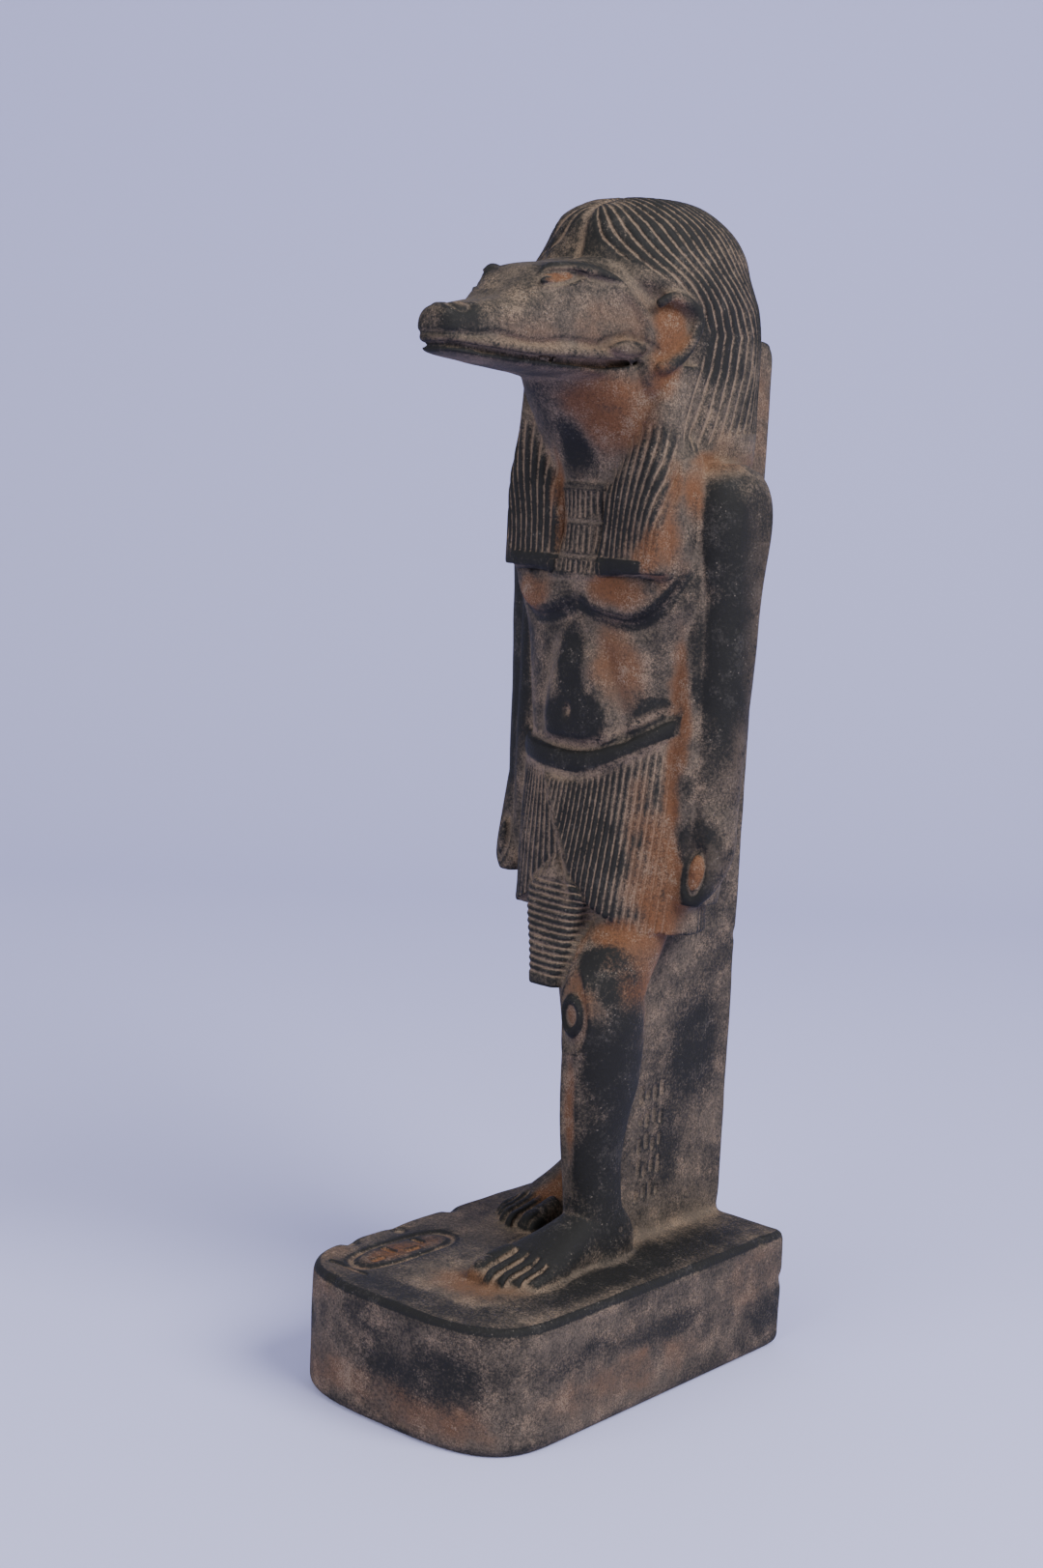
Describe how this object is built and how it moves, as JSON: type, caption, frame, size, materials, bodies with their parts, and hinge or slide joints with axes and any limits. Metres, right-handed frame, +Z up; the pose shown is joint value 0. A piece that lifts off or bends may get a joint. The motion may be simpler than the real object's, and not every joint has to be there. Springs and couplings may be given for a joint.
{
  "type": "crocodile-headed statue",
  "caption": "Carved dark stone statue of a striding man with a crocodile's head, long striated wig and pleated kilt, on a rounded plinth with a back pillar.",
  "frame": {"origin": "middle of the plinth's underside, in width and depth", "axes": "+Z up along the figure's height, -Y towards the figure's front where the snout points, +X to the figure's left"},
  "size_m": [0.08, 0.13, 0.329],
  "materials": {
    "stone": null
  },
  "bodies": {
    "root": {"statue": "stone"}
  },
  "joints": []
}
